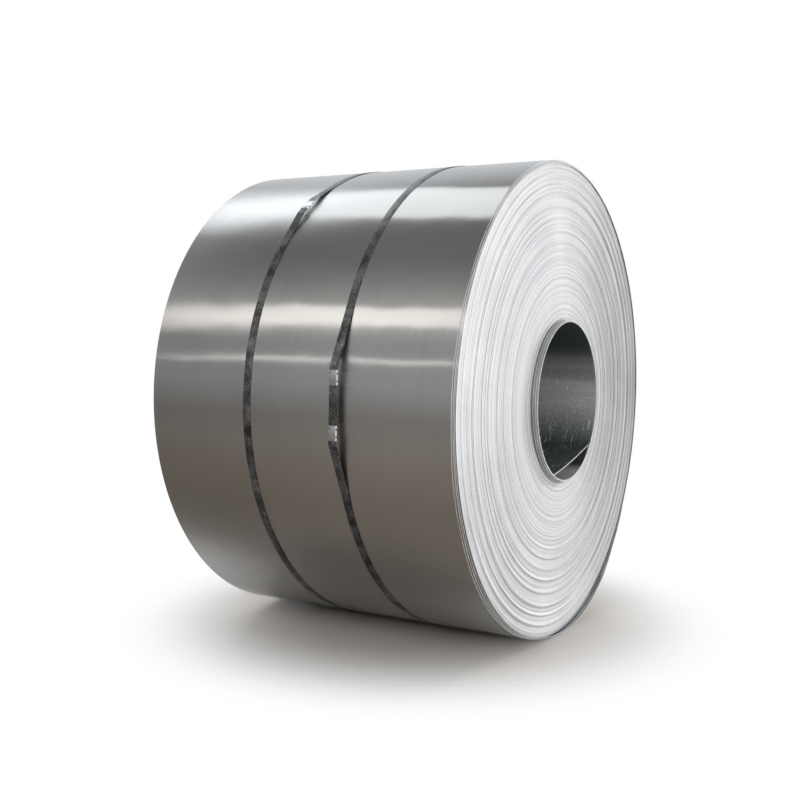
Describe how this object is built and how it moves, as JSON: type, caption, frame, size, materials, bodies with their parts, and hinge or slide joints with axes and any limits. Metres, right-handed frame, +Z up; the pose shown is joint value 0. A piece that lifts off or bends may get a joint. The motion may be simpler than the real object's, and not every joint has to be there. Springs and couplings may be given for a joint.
{
  "type": "steel coil",
  "caption": "Strip steel wound into a round coil with an open bore, lying on its side and held by steel straps with crimped seals.",
  "frame": {"origin": "on the bore axis, in the middle of the main body of the winding", "axes": "+X along the bore towards the end where the inner turns have slid out, -Y towards the front with the seals, +Z up"},
  "size_m": [1.285, 1.867, 1.8326],
  "materials": {
    "strip_steel": "satin, cold rolled",
    "strap_steel": "blued, waxed",
    "seal_steel": "zinc plated"
  },
  "bodies": {
    "root": {"coil": "strip_steel", "strap_left": "strap_steel", "strap_right": "strap_steel", "seal_left": "seal_steel", "seal_right_upper": "seal_steel", "seal_right_lower": "seal_steel"}
  },
  "joints": []
}
